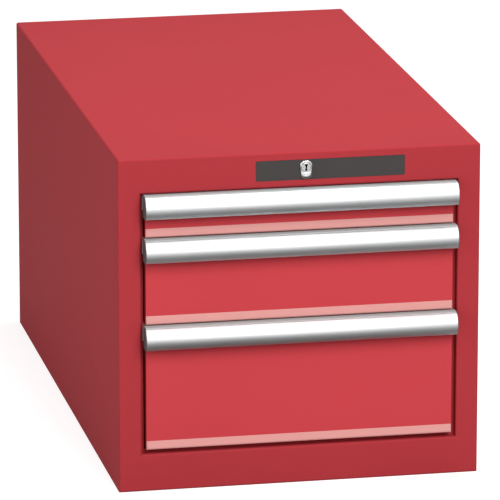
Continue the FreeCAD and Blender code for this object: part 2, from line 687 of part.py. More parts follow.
def drawer_front(number):
    """A folded pan with a finger pocket along its top and a flared strip along its foot."""
    foot = front_foot(number)
    limit = LIMITS[number - 1]
    top = limit - FRONT_HEADROOM
    back = TRAY_FRONT
    pocket = FRONT + POCKET_DEPTH
    path = [(back, top - FRONT_LIP), (back, top), (pocket, top), (pocket, limit - POCKET_BOTTOM),
            (FRONT, limit - POCKET_BOTTOM - POCKET_SLOPE), (FRONT, foot + FLARE_HEIGHT),
            (FRONT - FLARE_REACH, foot), (back, foot), (back, foot + FRONT_LIP)]
    sheet = prism(fold(path, TRAY_SHEET), "x", -FRONT_SIDE, FRONT_SIDE)
    flare_side = FRONT_SIDE - FLARE_INSET
    trims = [span_box(x, (FRONT - FLARE_REACH - OVERCUT, FRONT), (foot - OVERCUT, top))
             for x in ((-FRONT_SIDE - OVERCUT, -flare_side), (flare_side, FRONT_SIDE + OVERCUT))]
    cheeks = [span_box(x, (FRONT, back), (foot, top))
              for x in ((-FRONT_SIDE, -FRONT_SIDE + TRAY_SHEET), (FRONT_SIDE - TRAY_SHEET, FRONT_SIDE))]
    return joined([sheet.cut(trims)] + cheeks)


def handle_corners(number):
    """The brow, the corner that the round face turns, and the foot, each as (y, z)."""
    rise = math.radians(HANDLE_RISE)
    fall = math.radians(HANDLE_FALL)
    radius = HANDLE_ROUND + HANDLE_SHEET
    middle_y = FRONT - HANDLE_REACH + radius
    middle_z = (LIMITS[number - 1] - HANDLE_TOP_GAP - radius * math.sin(rise)
                - HANDLE_FLAT * math.cos(rise))
    brow = (middle_y - radius * math.cos(rise) + HANDLE_FLAT * math.sin(rise),
            LIMITS[number - 1] - HANDLE_TOP_GAP)
    reach = radius / math.cos((rise + fall) / 2)
    lean = (rise - fall) / 2
    corner = (middle_y - reach * math.cos(lean), middle_z + reach * math.sin(lean))
    foot = (middle_y - radius * math.cos(fall) + HANDLE_TIP * math.sin(fall),
            middle_z - radius * math.sin(fall) - HANDLE_TIP * math.cos(fall))
    return brow, corner, foot


def handle(number):
    """An extruded strip whose round face comes down over the finger pocket."""
    brow, corner, foot = handle_corners(number)
    top = brow[1]
    path = [(TRAY_FRONT, top), (*brow, HANDLE_BROW), (*corner, HANDLE_ROUND), foot]
    side = FRONT_SIDE + HANDLE_OVERHANG
    strip = prism(fold(path, HANDLE_SHEET, tip=HANDLE_TIP), "x", -side, side)
    leg_side = FRONT_SIDE - HANDLE_LEG_INSET
    pocket = FRONT + POCKET_DEPTH
    under = top - HANDLE_SHEET
    leg = span_box((-leg_side, leg_side), (pocket - HANDLE_SHEET, pocket), (under - HANDLE_LEG, under))
    return joined([strip, leg])


def handle_caps(number):
    """End plates that follow the handle's outer curve, and the label strip between them."""
    brow, corner, foot = handle_corners(number)
    high = brow[1] + LABEL_STRIP
    brow_y = brow[0] + LABEL_STRIP * math.tan(math.radians(HANDLE_RISE))
    outline = [(FRONT, foot[1], CAP_CORNER), (FRONT, high, CAP_CORNER), (brow_y, high, HANDLE_BROW),
               (*corner, HANDLE_ROUND + HANDLE_SHEET), (*foot, CAP_CORNER)]
    start = FRONT_SIDE + HANDLE_OVERHANG
    cap = prism(outline, "x", start, start + CAP_THICKNESS)
    label = span_box((-start, start), (brow_y + LABEL_STRIP_GAP, FRONT - LABEL_STRIP_GAP), (brow[1], high))
    return Part.makeCompound([cap, mirrored(cap), label])


def drawer_catch(number):
    """The hook on the tray's right-hand wall that the lock bar blocks."""
    middle = rail_middle(number)
    level = (middle - CATCH_HEIGHT / 2, middle + CATCH_HEIGHT / 2)
    start = BAR_END + CATCH_BACK_GAP
    foot = span_box((TRAY_SIDE, TRAY_SIDE + CATCH_SHEET), (start, start + CATCH_LENGTH), level)
    hook = span_box((TRAY_SIDE, OPENING_SIDE - CATCH_TIP_GAP), (start, start + CATCH_HOOK), level)
    return joined([foot, hook])


# Lock

def panel_outline(grow):
    """The lock panel's rounded outline, grown by a margin all round."""
    left = LOCK_PANEL_OFFSET - LOCK_PANEL_WIDTH / 2 - grow
    right = LOCK_PANEL_OFFSET + LOCK_PANEL_WIDTH / 2 + grow
    high = HEIGHT - LOCK_PANEL_TOP + grow
    low = HEIGHT - LOCK_PANEL_TOP - LOCK_PANEL_HEIGHT - grow
    return [(u, v, LOCK_PANEL_CORNER) for u, v in ((left, low), (right, low), (right, high), (left, high))]


def lock_panel():
    face = prism(panel_outline(0.0), "y", LOCK_PANEL_FACE, FRONT + SHEET)
    backing = prism(panel_outline(LOCK_PANEL_MARGIN), "y", FRONT + SHEET, BARREL_START)
    return joined([face, backing]).cut(lock_disc(FRONT - SHEET, BARREL_END, BARREL_NECK + BARREL_HOLE_PLAY))


def lock_escutcheon():
    """A shield with a rounded rim and a bevel round the plug."""
    shoulder = (ESCUTCHEON_SHOULDER, LOCK_Z + ESCUTCHEON_HIGH, ESCUTCHEON_SHOULDER_ROUND)
    foot = (ESCUTCHEON_FOOT, LOCK_Z - ESCUTCHEON_LOW, ESCUTCHEON_FOOT_ROUND)
    outline = [(LOCK_X + side * u, v, radius) for side, (u, v, radius)
               in ((-1, foot), (1, foot), (1, shoulder), (-1, shoulder))]
    plate = prism(outline, "y", ESCUTCHEON_FACE, ESCUTCHEON_FACE + ESCUTCHEON)
    rim = [edge for edge in plate.Edges if edge.BoundBox.YMax < ESCUTCHEON_FACE + NEAR]
    bore = PLUG_RADIUS + PLUG_PLAY
    dish = Part.makeCone(bore + ESCUTCHEON_DISH, bore, ESCUTCHEON_DISH,
                         Vector(LOCK_X, ESCUTCHEON_FACE, LOCK_Z), Vector(0, 1, 0))
    hole = lock_disc(ESCUTCHEON_FACE - OVERCUT, FRONT, bore)
    return plate.makeFillet(ESCUTCHEON_EDGE, rim).cut([dish, hole])


def lock_barrel():
    neck = lock_disc(LOCK_PANEL_FACE, BARREL_START, BARREL_NECK)
    body = lock_disc(BARREL_START, BARREL_END, BARREL_RADIUS)
    bore = lock_disc(LOCK_PANEL_FACE - OVERCUT, BARREL_END + OVERCUT, PLUG_RADIUS + PLUG_PLAY)
    return joined([neck, body]).cut(bore)


def lock_plug():
    face = ESCUTCHEON_FACE - PLUG_PROUD
    half = TAIL_WIDTH / 2
    tail = span_box((LOCK_X - half, LOCK_X + half), (BARREL_END, CAM_END), (LOCK_Z - half, LOCK_Z + half))
    eye = LOCK_Z - KEYWAY_LOW + KEYWAY_EYE
    depth = (face - OVERCUT, face + KEYWAY_DEPTH)
    high = LOCK_Z + KEYWAY_HIGH
    slot = [(LOCK_X + u, v, 0) for u, v in
            ((-KEYWAY_WAIST, eye), (KEYWAY_WAIST, eye), (KEYWAY_WAIST, LOCK_Z), (KEYWAY_TOP, high),
             (-KEYWAY_TOP, high), (-KEYWAY_WAIST, LOCK_Z))]
    keyway = [prism(slot, "y", *depth),
              rod("y", Vector(LOCK_X, depth[0], eye), Vector(LOCK_X, depth[1], eye), KEYWAY_EYE)]
    thread = lock_disc(CAM_END - CAM_SCREW_DEPTH, CAM_END + OVERCUT, CAM_SCREW_SHANK)
    return joined([lock_disc(face, BARREL_END, PLUG_RADIUS), tail]).cut(keyway + [thread])


def cam_pin_place():
    """The pin's place across the front, to the right of and below the lock's axis."""
    return (LOCK_X + CAM_PIN_SIDE, LOCK_Z - CAM_PIN_SIDE)


def lock_cam():
    x, z = cam_pin_place()
    half = TAIL_WIDTH / 2 + TAIL_PLAY
    plate = egg("y", CAM_START, (LOCK_X, LOCK_Z), CAM_HUB, (x, z), CAM_TOE, CAM_THICKNESS)
    square = span_box((LOCK_X - half, LOCK_X + half), (CAM_START - OVERCUT, CAM_END + OVERCUT),
                      (LOCK_Z - half, LOCK_Z + half))
    pin = rod("y", Vector(x, CAM_END, z), Vector(x, BAR_END + CAM_PIN_PASS, z), CAM_PIN_RADIUS)
    return joined([plate.cut(square), pin])


def lock_cam_screw():
    shank = lock_disc(CAM_END - CAM_SCREW_DEPTH, CAM_END, CAM_SCREW_SHANK)
    return joined([shank, lock_disc(CAM_END, CAM_END + CAM_SCREW_HEAD_HEIGHT, CAM_SCREW_HEAD)])


def lock_bar():
    """An angled plate: a notched arm under the lock and a leg beside the drawers."""
    pin_x = cam_pin_place()[0]
    arm_top = LOCK_Z - BAR_ARM_TOP
    arm_foot = arm_top - BAR_ARM_HEIGHT
    notch = CAM_PIN_RADIUS + BAR_NOTCH_PLAY
    arm_end = pin_x - notch - BAR_ARM_OVERRUN
    outline = [(arm_end, arm_foot), (BAR_LEG_INNER, arm_foot), (BAR_LEG_INNER, BAR_FOOT),
               (BAR_LEG_OUTER, BAR_FOOT), (BAR_LEG_OUTER, arm_top), (arm_end, arm_top)]
    plate = prism([(u, v, BAR_CORNER) for u, v in outline], "y", BAR_START, BAR_END)
    through = (BAR_START - OVERCUT, BAR_END + OVERCUT)
    cuts = [span_box((pin_x - notch, pin_x + notch), through,
                     (LOCK_Z - CAM_THROW - notch, arm_top + OVERCUT))]
    half = GUIDE_RADIUS + GUIDE_PLAY
    for level in GUIDE_LEVELS:
        cuts.append(span_box((GUIDE_X - half, GUIDE_X + BAR_TRAVEL + half), through,
                             (level - half, level + half)))
    return plate.cut(cuts)


def lock_bar_pins():
    """Shoulder pins on the front upright that the bar's slots ride on."""
    pins = []
    for level in GUIDE_LEVELS:
        neck = BAR_START - GUIDE_HEAD_GAP
        shaft = rod("y", Vector(GUIDE_X, neck, level), Vector(GUIDE_X, FRONT_UPRIGHT, level), GUIDE_RADIUS)
        head = rod("y", Vector(GUIDE_X, neck - GUIDE_HEAD, level), Vector(GUIDE_X, neck, level),
                   GUIDE_HEAD_RADIUS)
        pins.append(joined([shaft, head]))
    return Part.makeCompound(pins)


# The whole cabinet, by the name of each piece

def cabinet():
    nodes = {
        "front_frame": front_frame(),
        "side_panel_right": side_panel(),
        "side_panel_left": mirrored(side_panel()),
        "top_cover": top_cover(),
        "back_panel": back_panel(),
        "base_panel": base_panel(),
        "back_screws": back_screws(),
        "rail_buffers": rail_buffers(),
        "lock_panel": lock_panel(),
        "lock_escutcheon": lock_escutcheon(),
        "lock_barrel": lock_barrel(),
        "lock_plug": lock_plug(),
        "lock_cam": lock_cam(),
        "lock_cam_screw": lock_cam_screw(),
        "lock_bar": lock_bar(),
        "lock_bar_pins": lock_bar_pins(),
    }
    for name, start in (("front", FRONT_UPRIGHT), ("rear", REAR_UPRIGHT)):
        post = upright(start)
        nodes[f"upright_{name}_right"] = post
        nodes[f"upright_{name}_left"] = mirrored(post)
    for number in DRAWERS:
        rail = cabinet_rail(number)
        nodes[f"cabinet_rail_right_{number}"] = rail
        nodes[f"cabinet_rail_left_{number}"] = mirrored(rail)
        nodes[f"carriages_{number}"] = pair(carriage(number))
        for name, outward, y in roller_places():
            nodes[f"rollers_{name}_{number}"] = pair(roller(number, outward, y))
        nodes[f"drawer_{number}_tray"] = tray(number)
        nodes[f"drawer_{number}_rails"] = drawer_rails(number)
        nodes[f"drawer_{number}_front"] = drawer_front(number)
        nodes[f"drawer_{number}_handle"] = handle(number)
        nodes[f"drawer_{number}_handle_caps"] = handle_caps(number)
        nodes[f"drawer_{number}_catch"] = drawer_catch(number)
    return nodes


os.makedirs("parts", exist_ok=True)
for name, shape in cabinet().items():
    shape.exportStep(f"parts/{name}.step")
    print(f"{name}: {len(shape.Solids)} solid(s), {shape.Volume / 1000:.2f} cm3")
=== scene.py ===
# %% [markdown]
# # A workshop drawer cabinet, dressed for its picture
#
# The cabinet's steel work comes ready made from the frame: every panel, rail, roller and screw is a
# mesh in metres, with +Z up, +X to the right seen from the drawers and -Y out of the drawers. This
# lesson gives those meshes their finishes, and replaces the few pieces whose curves catch the light
# with smoother surfaces worked out in numpy.

# %% Load the frame
import bpy
import json
import math
import numpy as np
from mathutils import Matrix, Vector


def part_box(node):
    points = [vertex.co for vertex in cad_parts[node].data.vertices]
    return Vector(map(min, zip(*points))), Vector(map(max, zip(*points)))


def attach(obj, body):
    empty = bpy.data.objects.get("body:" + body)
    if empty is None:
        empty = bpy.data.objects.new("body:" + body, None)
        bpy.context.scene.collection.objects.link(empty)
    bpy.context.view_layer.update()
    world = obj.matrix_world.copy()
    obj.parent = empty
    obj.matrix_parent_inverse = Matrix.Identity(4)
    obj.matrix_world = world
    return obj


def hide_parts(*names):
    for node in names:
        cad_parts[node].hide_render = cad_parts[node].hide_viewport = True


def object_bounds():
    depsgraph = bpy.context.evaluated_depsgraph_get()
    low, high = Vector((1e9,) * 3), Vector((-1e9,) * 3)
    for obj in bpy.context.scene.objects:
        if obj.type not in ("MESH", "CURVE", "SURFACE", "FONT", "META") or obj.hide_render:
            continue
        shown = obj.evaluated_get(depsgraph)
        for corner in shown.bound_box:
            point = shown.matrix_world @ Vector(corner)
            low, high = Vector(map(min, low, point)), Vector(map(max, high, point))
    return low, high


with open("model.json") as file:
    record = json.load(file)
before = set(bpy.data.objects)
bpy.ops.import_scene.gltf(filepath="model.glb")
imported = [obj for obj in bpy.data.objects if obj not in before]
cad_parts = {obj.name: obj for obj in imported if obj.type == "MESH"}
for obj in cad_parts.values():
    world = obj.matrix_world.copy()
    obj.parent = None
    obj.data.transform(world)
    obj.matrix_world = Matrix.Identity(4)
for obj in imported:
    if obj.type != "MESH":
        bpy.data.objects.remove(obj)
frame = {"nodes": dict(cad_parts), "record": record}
cad_box = [list(corner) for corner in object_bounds()]
nodes = frame["nodes"]
low, high = (Vector(corner) for corner in cad_box)
MM = 0.001
print("nodes:", len(nodes), "box from", [round(v, 3) for v in low], "to", [round(v, 3) for v in high])

# %% [markdown]
# ## The camera
#
# The picture shows the cabinet from the front left, a little from above, through a long lens, so its
# edges stay almost parallel. A camera is placed by four facts: where it stands, how far it is turned to
# the right of straight ahead, how far it looks down, and its focal length. Rotation by Euler angles in
# the order X, Y, Z suits this, because X is then the tilt and Z the turn.

# %% Camera
CAMERA_PLACE = (-1.1473, -5.8049, 1.7462)     # metres
CAMERA_TURN = 11.33                           # degrees to the right of straight ahead
CAMERA_DIP = 14.86                            # degrees below the horizon
FOCAL_LENGTH = 372.5                          # millimetres on a 36 mm sensor

camera = bpy.data.objects.new("camera", bpy.data.cameras.new("camera"))
camera.data.lens = FOCAL_LENGTH
camera.data.sensor_width = 36
camera.location = CAMERA_PLACE
camera.rotation_euler = (math.radians(90 - CAMERA_DIP), 0, -math.radians(CAMERA_TURN))
bpy.context.scene.collection.objects.link(camera)
bpy.context.scene.camera = camera
print("camera", round((Vector(CAMERA_PLACE) - (low + high) / 2).length, 2), "m from the cabinet's middle")

# %% [markdown]
# ## Shader maths as plain expressions
#
# A procedural finish is a formula over the surface. Blender holds it as nodes, and a formula of ten
# terms would need ten nodes wired by hand. The class below wraps a node's output, so that `a * 2 + b`
# adds the Math nodes itself. The reflected forms, such as `__rmul__`, let the plain number stand first.
# `Finish` holds one material, and its `node` method adds any other kind of node.

# %% Wrapped sockets
class Wave:
    """A number that varies over the surface."""

    def __init__(self, finish, socket):
        self.finish = finish
        self.socket = socket

    def joined(self, operation, first, second, clamp=False):
        settings = {"operation": operation, "use_clamp": clamp}
        return self.finish.node("ShaderNodeMath", settings, {0: first, 1: second})

    def __add__(self, other):
        return self.joined("ADD", self, other)

    def __mul__(self, other):
        return self.joined("MULTIPLY", self, other)

    def __sub__(self, other):
        return self.joined("SUBTRACT", self, other)

    def __rsub__(self, other):
        return self.joined("SUBTRACT", other, self)

    __radd__ = __add__
    __rmul__ = __mul__

    def larger(self, other):
        return self.joined("MAXIMUM", self, other)

    def size(self):
        return self.joined("ABSOLUTE", self, 0)

    def step(self, start, end):
        """0 before start, 1 after end, and a smooth rise between them."""
        return self.finish.node("ShaderNodeMapRange", {"interpolation_type": "SMOOTHSTEP"},
                                {"Value": self, "From Min": start, "From Max": end})


class Finish:
    """One material, with its shader's fixed values set first and its nodes added after."""

    def __init__(self, name, **fixed):
        self.material = bpy.data.materials.new(name)
        self.material.use_nodes = True
        self.tree = self.material.node_tree
        self.shader = self.tree.nodes["Principled BSDF"]
        for socket, value in fixed.items():
            self.feed(self.shader.inputs[socket.replace("_", " ").title().replace("Ior", "IOR")], value)
        self.place = self.tree.nodes.new("ShaderNodeTexCoord").outputs["Object"]

    def feed(self, socket, value):
        if isinstance(value, Wave):
            value = value.socket
        if isinstance(value, bpy.types.NodeSocket):
            self.tree.links.new(value, socket)
        elif socket.type == "RGBA" and len(value) == 3:
            socket.default_value = (*value, 1)
        else:
            socket.default_value = value

    def node(self, kind, settings=None, inputs=None, output=0):
        """Adds a node: its settings first, then its sockets' values or links. Gives one output back."""
        made = self.tree.nodes.new(kind)
        for name, value in (settings or {}).items():
            setattr(made, name, value)
        for name, value in (inputs or {}).items():
            self.feed(made.inputs[name], value)
        return Wave(self, made.outputs[output])

    def axes(self):
        """The object's X, Y and Z, in metres."""
        split = self.node("ShaderNodeSeparateXYZ", None, {0: self.place})
        return [Wave(self, socket) for socket in split.socket.node.outputs]

    def noise(self, per_metre, detail=2.0, stretch=(1, 1, 1)):
        """Cloudy noise from 0 to 1 with so many waves in a metre along each axis."""
        spread = tuple(per_metre * s for s in stretch)
        place = self.node("ShaderNodeMapping", {"vector_type": "POINT"},
                          {"Vector": self.place, "Scale": spread})
        return self.node("ShaderNodeTexNoise", None, {"Vector": place, "Scale": 1.0, "Detail": detail})

    def blend(self, amount, first, second):
        """A colour between two others."""
        return self.node("ShaderNodeMix", {"data_type": "RGBA"}, {0: amount, 6: first, 7: second}, 2)

    def bump(self, height, depth, strength=1.0):
        """Feeds the shader's normal with a relief of that depth in metres."""
        relief = self.node("ShaderNodeBump", None,
                           {"Height": height, "Distance": depth, "Strength": strength})
        self.feed(self.shader.inputs["Normal"], relief)

    def use(self, **varying):
        for socket, value in varying.items():
            self.feed(self.shader.inputs[socket.replace("_", " ").title()], value)
        return self.material


def tinted(colour, share):
    """A colour with every channel scaled by a share."""
    return tuple(min(1.0, channel * share) for channel in colour)


print("shader helpers ready")

# %% [markdown]
# ## Red powder coat
#
# Powder coat is paint baked on as a melt. It lies evenly but never quite flat: a fine waviness called
# orange peel, two to four millimetres from crest to crest, breaks up each reflection. So the finish is
# one red, varied by a few percent, with a bump made from noise at that scale and a second, finer one.
# The gloss is kept very low, because a white studio mirrored in it would wash out the red.

# %% Paint
HOUSING_RED = (0.41, 0.040, 0.048)
DRAWER_RED = (0.56, 0.056, 0.067)
PEEL_WAVES = 330                              # in a metre
PEEL_DEPTH = 0.06 * MM
CLOUD_WAVES = 5                               # in a metre
TONE_SPREAD = 0.05                            # how far the colour wanders to either side


def powder_coat(name, red, roughness=0.50, gloss=0.006):
    """Satin paint with orange peel. Returns the finish and its colour, still to be put to use."""
    coat = Finish(name, specular_ior_level=gloss)
    cloud = coat.noise(CLOUD_WAVES, 3)
    peel = coat.noise(PEEL_WAVES, 2)
    grit = coat.noise(PEEL_WAVES * 5, 1)
    colour = coat.blend(cloud, tinted(red, 1 - TONE_SPREAD), tinted(red, 1 + TONE_SPREAD))
    coat.bump(peel + grit * 0.25, PEEL_DEPTH)
    coat.use(roughness=cloud * 0.06 + peel * 0.04 + (roughness - 0.05))
    return coat, colour


housing_coat, housing_colour = powder_coat("housing_paint", HOUSING_RED)
housing_paint = housing_coat.use(base_color=housing_colour)

# %% [markdown]
# ## The drawer fronts' painted highlight strip
#
# Along its foot each drawer front leans out for the last ten millimetres, and that strip catches more
# light than the rest. That light is painted here as a pale red highlight in the paint's colour. The strip
# isn't a separate piece, so the same paint carries both colours: a mask over the object's own Z is 1
# between the foot and the fold of each of the three fronts, and one over its Y keeps the painted
# highlight to the outer face.

# %% Drawer paint
# The pale red below is a painted highlight, standing for light caught by each front's leaning strip.
STRIP_HIGHLIGHT_RED = (0.70, 0.32, 0.30)
STRIP_HEIGHT = 10 * MM
STRIP_EDGE = 0.1 * MM                         # width of the change of colour
STRIP_DEPTH = (2.0 * MM, 2.6 * MM)            # behind the foremost edge, where the strip's painted highlight ends
DRAWERS = (1, 2, 3)

drawer_coat, drawer_colour = powder_coat("drawer_paint", DRAWER_RED)
across, depth, height = drawer_coat.axes()
# The strip mask built here marks where the painted highlight goes on each front.
strip = None
for number in DRAWERS:
    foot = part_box(f"drawer_{number}_front")[0]
    fold = foot.z + STRIP_HEIGHT
    highlight_band = height.step(foot.z - STRIP_EDGE, foot.z) - height.step(fold - STRIP_EDGE, fold + STRIP_EDGE)
    strip = highlight_band if strip is None else strip + highlight_band
outside = 1 - depth.step(*(foot.y + behind for behind in STRIP_DEPTH))
drawer_paint = drawer_coat.use(base_color=drawer_coat.blend(strip * outside, drawer_colour, STRIP_HIGHLIGHT_RED))
print("pale strips on", len(DRAWERS), "fronts")

# %% [markdown]
# ## Metals
#
# The handles are extruded aluminium with a satin anodised skin. The die leaves a grain of fine lines
# along the bar's length, so the noise for its roughness and bump is stretched along X. Zinc plating on
# the rails and the lock's works is duller and has a faint cloudy spangle, and the lock's face is bright
# plating. The dark in the keyway is painted shade; its mask works by radius and depth, so it stays in the
# slot as the plug turns.

# %% Metal finishes
ALUMINIUM_TONES = ((0.77, 0.78, 0.79), (0.84, 0.845, 0.85))
ZINC_TONES = ((0.50, 0.51, 0.52), (0.62, 0.63, 0.63))
# The near-black second tone is painted shade for the inside of the keyway.
BRIGHT_TONE, PAINTED_SLOT_SHADE = (0.80, 0.80, 0.80), (0.01, 0.01, 0.01)
GRAIN_STRETCH = (0.004, 1, 1)                 # long lines along X
SCRATCH_STRETCH = (1, 0.01, 1)                # along Y, the way the rails run
LINE_DEPTH = 0.01 * MM
PLUG_FACE = (4.1 * MM, 4.4 * MM)              # radii between which the painted shade of the slot ends
SLOT_START = (0.2 * MM, 0.6 * MM)             # depths between which the painted shade of the slot begins


def grained_aluminium():
    metal = Finish("handle_aluminium", metallic=1.0)
    grain = metal.noise(2400, 2, GRAIN_STRETCH)
    cloud = metal.noise(9, 2)
    metal.bump(grain, LINE_DEPTH, 0.35)
    colour = metal.blend(grain, *ALUMINIUM_TONES)
    return metal.use(base_color=colour, roughness=grain * 0.08 + cloud * 0.04 + 0.48)


def zinc_plate():
    zinc = Finish("zinc_steel", metallic=1.0)
    spangle = zinc.node("ShaderNodeTexVoronoi", {"feature": "F1"}, {"Vector": zinc.place, "Scale": 160.0},
                        "Color")
    shade = zinc.node("ShaderNodeSeparateColor", None, {0: spangle})
    scratches = zinc.noise(1500, 2, SCRATCH_STRETCH)
    zinc.bump(scratches, LINE_DEPTH, 0.3)
    colour = zinc.blend(shade, *ZINC_TONES)
    return zinc.use(base_color=colour, roughness=shade * 0.08 + scratches * 0.08 + 0.32)


def bright_plate():
    """Plated zinc casting, with painted shade in the keyway, shown only where the slot is deep."""
    plate = Finish("lock_chrome", metallic=1.0)
    cloud = plate.noise(700, 2)
    x, y, z = plate.axes()
    start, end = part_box("lock_plug")
    beside, above = x - (start.x + end.x) / 2, z - (start.z + end.z) / 2
    # The mask below lays painted shade into the keyway, from its radius and its depth.
    inside = 1 - (beside * beside + above * above).step(*(radius ** 2 for radius in PLUG_FACE))
    slot = inside * y.step(*(start.y + behind for behind in SLOT_START))
    plate.bump(cloud, 0.004 * MM, 0.4)
    return plate.use(base_color=plate.blend(slot, BRIGHT_TONE, PAINTED_SLOT_SHADE),
                     roughness=cloud * 0.06 + 0.16 + slot * 0.5)


handle_aluminium = grained_aluminium()
zinc_steel = zinc_plate()
lock_chrome = bright_plate()
print("metals made")

# %% [markdown]
# ## Plastics, the trays' grey coat and the rubber
#
# Moulded plastic takes the texture of its mould, a fine leathery grain, so each gets a small bump from
# a high noise. The rollers are of a natural, off-white plastic, and the buffers of black rubber. The
# trays have a light grey powder coat inside the red cabinet.

# %% Plastics and tray paint
def moulded(name, colour, waves, depth, roughness, gloss=0.4):
    plastic = Finish(name, specular_ior_level=gloss)
    grain = plastic.noise(waves, 3)
    cloud = plastic.noise(14, 2)
    plastic.bump(grain, depth)
    shade = plastic.blend(cloud, tinted(colour, 0.92), tinted(colour, 1.08))
    return plastic.use(base_color=shade, roughness=grain * 0.1 + (roughness - 0.05))


CAP_PLATE = 0.6 * MM                          # end cap's plate, outside the strip's end
CAP_GREY, LABEL_GREY = (0.085, 0.095, 0.092), (0.43, 0.49, 0.49)
LABEL_EDGE = 0.1 * MM                         # width of the change of colour


def trim_plastic():
    """The caps' dark plastic, and between the caps the label strip's grey."""
    plastic = Finish("cap_plastic", specular_ior_level=0.4)
    grain = plastic.noise(2200, 3)
    plastic.bump(grain, 0.03 * MM)
    across = plastic.axes()[0]
    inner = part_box("drawer_1_handle_caps")[1].x - CAP_PLATE
    between = 1 - across.size().step(inner - LABEL_EDGE, inner)
    shade = plastic.blend(between, CAP_GREY, LABEL_GREY)
    return plastic.use(base_color=shade, roughness=grain * 0.1 + 0.45)


cap_plastic = trim_plastic()
lock_panel_plastic = moulded("lock_panel_plastic", (0.054, 0.049, 0.047), 2600, 0.03 * MM, 0.55, 0.15)
roller_plastic = moulded("roller_plastic", (0.72, 0.71, 0.66), 900, 0.02 * MM, 0.38)
buffer_rubber = moulded("buffer_rubber", (0.025, 0.025, 0.026), 1800, 0.04 * MM, 0.75)
tray_coat, tray_colour = powder_coat("tray_paint", (0.46, 0.47, 0.48), 0.45)
tray_paint = tray_coat.use(base_color=tray_colour)
print("plastics made")

# %% [markdown]
# ## Every carried-over piece gets its finish
#
# The record says which material slot each node takes. A dictionary from slot to material then dresses
# all of them in one loop.

# %% Dress the nodes
FINISHES = {
    "housing_paint": housing_paint, "drawer_paint": drawer_paint, "tray_paint": tray_paint,
    "handle_aluminium": handle_aluminium, "zinc_steel": zinc_steel, "lock_chrome": lock_chrome,
    "cap_plastic": cap_plastic, "lock_panel_plastic": lock_panel_plastic,
    "roller_plastic": roller_plastic, "buffer_rubber": buffer_rubber,
}

for part in frame["record"]["subparts"]:
    shape = nodes[part["node"]].data
    shape.materials.clear()
    shape.materials.append(FINISHES[part["material_slot"]])
for slot, material in FINISHES.items():
    plain = bpy.data.materials.get(slot)
    if plain is not material:
        bpy.data.materials.remove(plain)
        material.name = slot
print("finishes:", len(FINISHES), "on", len(nodes), "nodes")

# %% [markdown]
# ## Surfaces from a profile
#
# An extrusion is one outline carried along a straight line, so its mesh is a grid: the outline's points
# one way and the places along X the other. The outline is given as corners with radii, and each corner
# is turned by an arc that touches both of its sides: the arc starts and ends radius x tan(turn / 2) from
# the corner, and its centre lies radius away from both sides. The handle's round face shows every facet
# of a coarse arc, which is why it is made here, with many points, and not taken from the frame.

# %% Profile helpers
def rounded(corners, degrees_a_step=5.0):
    """Points round a closed outline of (u, v, radius) corners, each turned with its touching arc."""
    points = []
    count = len(corners)
    for i, (u, v, radius) in enumerate(corners):
        corner = np.array((u, v), float)
        behind = np.array(corners[i - 1][:2]) - corner
        ahead = np.array(corners[(i + 1) % count][:2]) - corner
        behind /= np.linalg.norm(behind)
        ahead /= np.linalg.norm(ahead)
        half = math.acos(np.clip(behind @ ahead, -1, 1)) / 2
        if radius == 0:
            points.append(corner[None])
            continue
        middle = (behind + ahead) / np.linalg.norm(behind + ahead)
        centre = corner + middle * radius / math.sin(half)
        first = corner + behind * radius / math.tan(half) - centre
        last = corner + ahead * radius / math.tan(half) - centre
        start = math.atan2(first[1], first[0])
        sweep = (math.atan2(last[1], last[0]) - start + math.pi) % (2 * math.pi) - math.pi
        steps = max(2, int(abs(math.degrees(sweep)) / degrees_a_step) + 1)
        turn = start + sweep * np.linspace(0, 1, steps)
        points.append(centre + radius * np.stack([np.cos(turn), np.sin(turn)], 1))
    return np.concatenate(points)


def rims(low, high, first, last, steps=5):
    """Places along a bar, and how far its outline is drawn in at each, for quarter-round rims.

    A rim of radius r goes from r x (1 - sin t) inwards at the end to 0 at r x (1 - cos t) from it.
    """
    def rim(radius):
        turn = np.linspace(0, math.pi / 2, steps) if radius else np.array([math.pi / 2])
        return radius * (1 - np.cos(turn)), radius * (1 - np.sin(turn))

    start, start_inset = rim(first)
    end, end_inset = rim(last)
    return np.concatenate([low + start, high - end[::-1]]), np.concatenate([start_inset, end_inset[::-1]])


def bar(outline, stations, inset):
    """A closed bar along X: the outline (Y, Z) at each station, drawn in along its own normals.

    Gives its vertices and faces. The two ends are closed with one flat face each.
    """
    outline = np.asarray(outline, float)
    along = np.roll(outline, -1, 0) - np.roll(outline, 1, 0)
    along /= np.linalg.norm(along, axis=1)[:, None]
    area = np.sum(outline[:, 0] * np.roll(outline[:, 1], -1) - np.roll(outline[:, 0], -1) * outline[:, 1])
    inward = np.stack([-along[:, 1], along[:, 0]], 1) * np.sign(area)
    sections = outline[None] + inward[None] * np.asarray(inset)[:, None, None]
    x = np.repeat(np.asarray(stations)[:, None], len(outline), 1)
    vertices = np.concatenate([x[..., None], sections], 2)
    faces = ringed(len(stations), len(outline)).tolist()
    first = np.arange(len(outline))
    last = first + (len(stations) - 1) * len(outline)
    faces += [first[::-1].tolist(), last.tolist()]
    if area < 0:
        faces = [face[::-1] for face in faces]
    return vertices.reshape(-1, 3), faces


def ringed(rings, points, closed=False):
    """Quads between rings of so many points each, and from the last ring to the first if closed."""
    ring, point = np.meshgrid(np.arange(rings if closed else rings - 1), np.arange(points), indexing="ij")
    here, ahead = ring * points, (ring + 1) % rings * points
    beside = (point + 1) % points
    return np.stack([here + point, here + beside, ahead + beside, ahead + point], -1).reshape(-1, 4)


